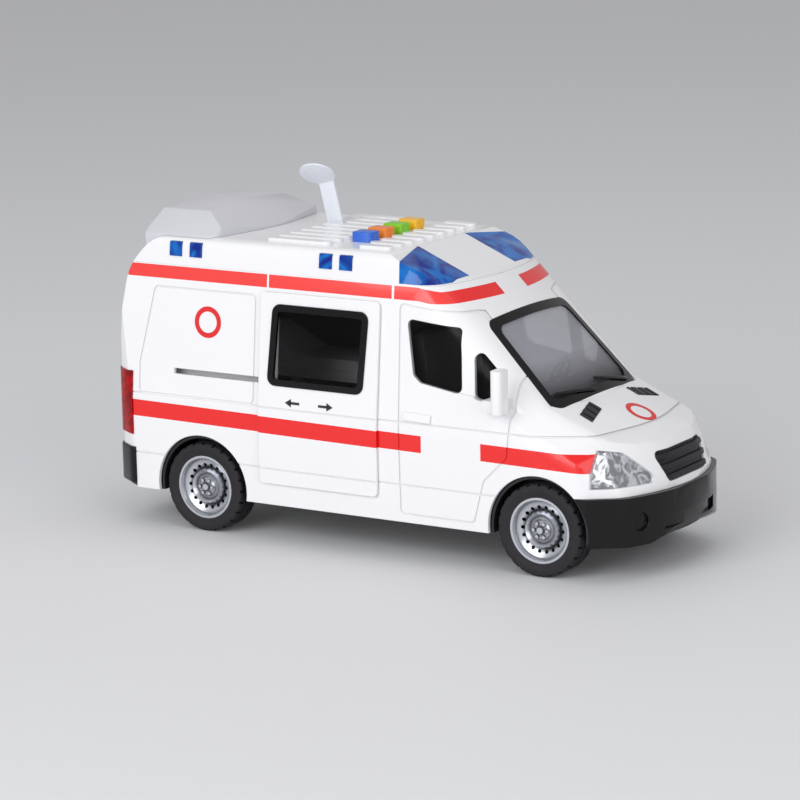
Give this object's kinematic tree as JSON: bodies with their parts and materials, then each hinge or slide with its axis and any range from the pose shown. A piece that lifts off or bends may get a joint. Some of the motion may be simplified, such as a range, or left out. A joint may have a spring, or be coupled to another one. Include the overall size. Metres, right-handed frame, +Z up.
{
  "type": "toy ambulance van",
  "caption": "High-roof toy ambulance van with a sliding side door, coloured roof sound buttons, blue roof lenses, a furnished patient bay and a push-and-go flywheel drive.",
  "frame": {"origin": "middle of the van's outline, its mirror included, on the floor it stands on", "axes": "+X towards the front of the van, +Y towards its left side, +Z up"},
  "size_m": [0.275, 0.1155, 0.1642],
  "materials": {
    "white_body": "gloss",
    "tab_strip": "satin",
    "blue_lens": "gloss",
    "blue_button": "gloss",
    "orange_button": "gloss",
    "green_button": "gloss",
    "yellow_button": "gloss",
    "circuit_board": "matte",
    "lamp_led": "gloss",
    "black_trim": "gloss",
    "clear_window": "gloss",
    "clear_lamp": "gloss",
    "reflector": "gloss",
    "red_lamp": "gloss",
    "black_chassis": "matte",
    "steel": "satin",
    "dark_cabin": "matte",
    "grey_cabin": "satin",
    "gear_plastic": "satin",
    "silver_rim": "metallic",
    "tyre": "matte"
  },
  "bodies": {
    "van": {"body_shell": "white_body", "roof_shell": "white_body", "roof_pod": "white_body", "blue_lens_right": "blue_lens", "blue_lens_left": "blue_lens", "side_lights_right": "blue_lens", "side_lights_left": "blue_lens", "circuit_board": "circuit_board", "lamp_leds": "lamp_led", "windscreen_frame": "black_trim", "windscreen": "clear_window", "wipers": "black_trim", "cab_glass_right": "clear_window", "cab_glass_left": "clear_window", "rear_glass": "clear_window", "mirror_right": "white_body", "bonnet_vents": "black_trim", "headlight_right": "clear_lamp", "headlight_left": "clear_lamp", "headlight_reflectors": "reflector", "front_grille": "black_trim", "tail_light_right": "red_lamp", "tail_light_left": "red_lamp", "front_bumper": "black_trim", "rear_bumper": "black_trim", "chassis": "black_chassis", "battery_cover": "black_chassis", "button_cells": "steel", "speaker": "black_chassis", "chassis_screws": "steel", "interior_tub": "dark_cabin", "cab_seats": "dark_cabin", "dashboard": "dark_cabin", "steering_wheel": "dark_cabin", "stretcher": "grey_cabin", "motor_housing_right": "gear_plastic", "motor_housing_left": "gear_plastic"},
    "front_wheels": {"front_axle": "steel", "rim_front_right": "silver_rim", "rim_front_left": "silver_rim", "tyre_front_right": "tyre", "tyre_front_left": "tyre"},
    "rear_wheels": {"rear_axle": "steel", "drive_gear": "gear_plastic", "rim_rear_right": "silver_rim", "rim_rear_left": "silver_rim", "tyre_rear_right": "tyre", "tyre_rear_left": "tyre"},
    "idler": {"idler_gear": "gear_plastic"},
    "flywheel_rotor": {"flywheel": "steel"},
    "side_door": {"slide_door": "white_body", "door_window_frame": "black_trim", "door_window_pane": "clear_window", "door_clips": "white_body"},
    "blue_key": {"button_blue": "blue_button"},
    "orange_key": {"button_orange": "orange_button"},
    "green_key": {"button_green": "green_button"},
    "yellow_key": {"button_yellow": "yellow_button"},
    "tab": {"pull_tab": "tab_strip"}
  },
  "joints": [
    {"name": "front_wheels_roll", "type": "hinge", "parent": "van", "child": "front_wheels", "pos_m": [0.0883, 0.00375, 0.0205], "axis": [0, 1, 0], "continuous": true},
    {"name": "rear_wheels_roll", "type": "hinge", "parent": "van", "child": "rear_wheels", "pos_m": [-0.0867, 0.00375, 0.0205], "axis": [0, 1, 0], "continuous": true},
    {"name": "idler_turn", "type": "hinge", "parent": "van", "child": "idler", "pos_m": [-0.07905, 0.00375, 0.02962], "axis": [0, 1, 0], "continuous": true},
    {"name": "flywheel_turn", "type": "hinge", "parent": "van", "child": "flywheel_rotor", "pos_m": [-0.06787, 0.00375, 0.03369], "axis": [0, 1, 0], "continuous": true},
    {"name": "side_door_slide", "type": "slide", "parent": "van", "child": "side_door", "axis": [-1, 0, 0], "range_m": [0, 0.047]},
    {"name": "blue_button_press", "type": "slide", "parent": "van", "child": "blue_key", "axis": [0, 0, -1], "range_m": [0, 0.0015], "stiffness_N_per_m": 400},
    {"name": "orange_button_press", "type": "slide", "parent": "van", "child": "orange_key", "axis": [0, 0, -1], "range_m": [0, 0.0015], "stiffness_N_per_m": 400},
    {"name": "green_button_press", "type": "slide", "parent": "van", "child": "green_key", "axis": [0, 0, -1], "range_m": [0, 0.0015], "stiffness_N_per_m": 400},
    {"name": "yellow_button_press", "type": "slide", "parent": "van", "child": "yellow_key", "axis": [0, 0, -1], "range_m": [0, 0.0015], "stiffness_N_per_m": 400},
    {"name": "pull_tab_lift", "type": "slide", "parent": "van", "child": "tab", "axis": [-0.2419, 0, 0.9703], "range_m": [0, 0.02]}
  ],
  "couplings": [
    {"joint": "idler_turn", "follows": "rear_wheels_roll", "ratio": -2.4},
    {"joint": "flywheel_turn", "follows": "rear_wheels_roll", "ratio": 5.76}
  ]
}
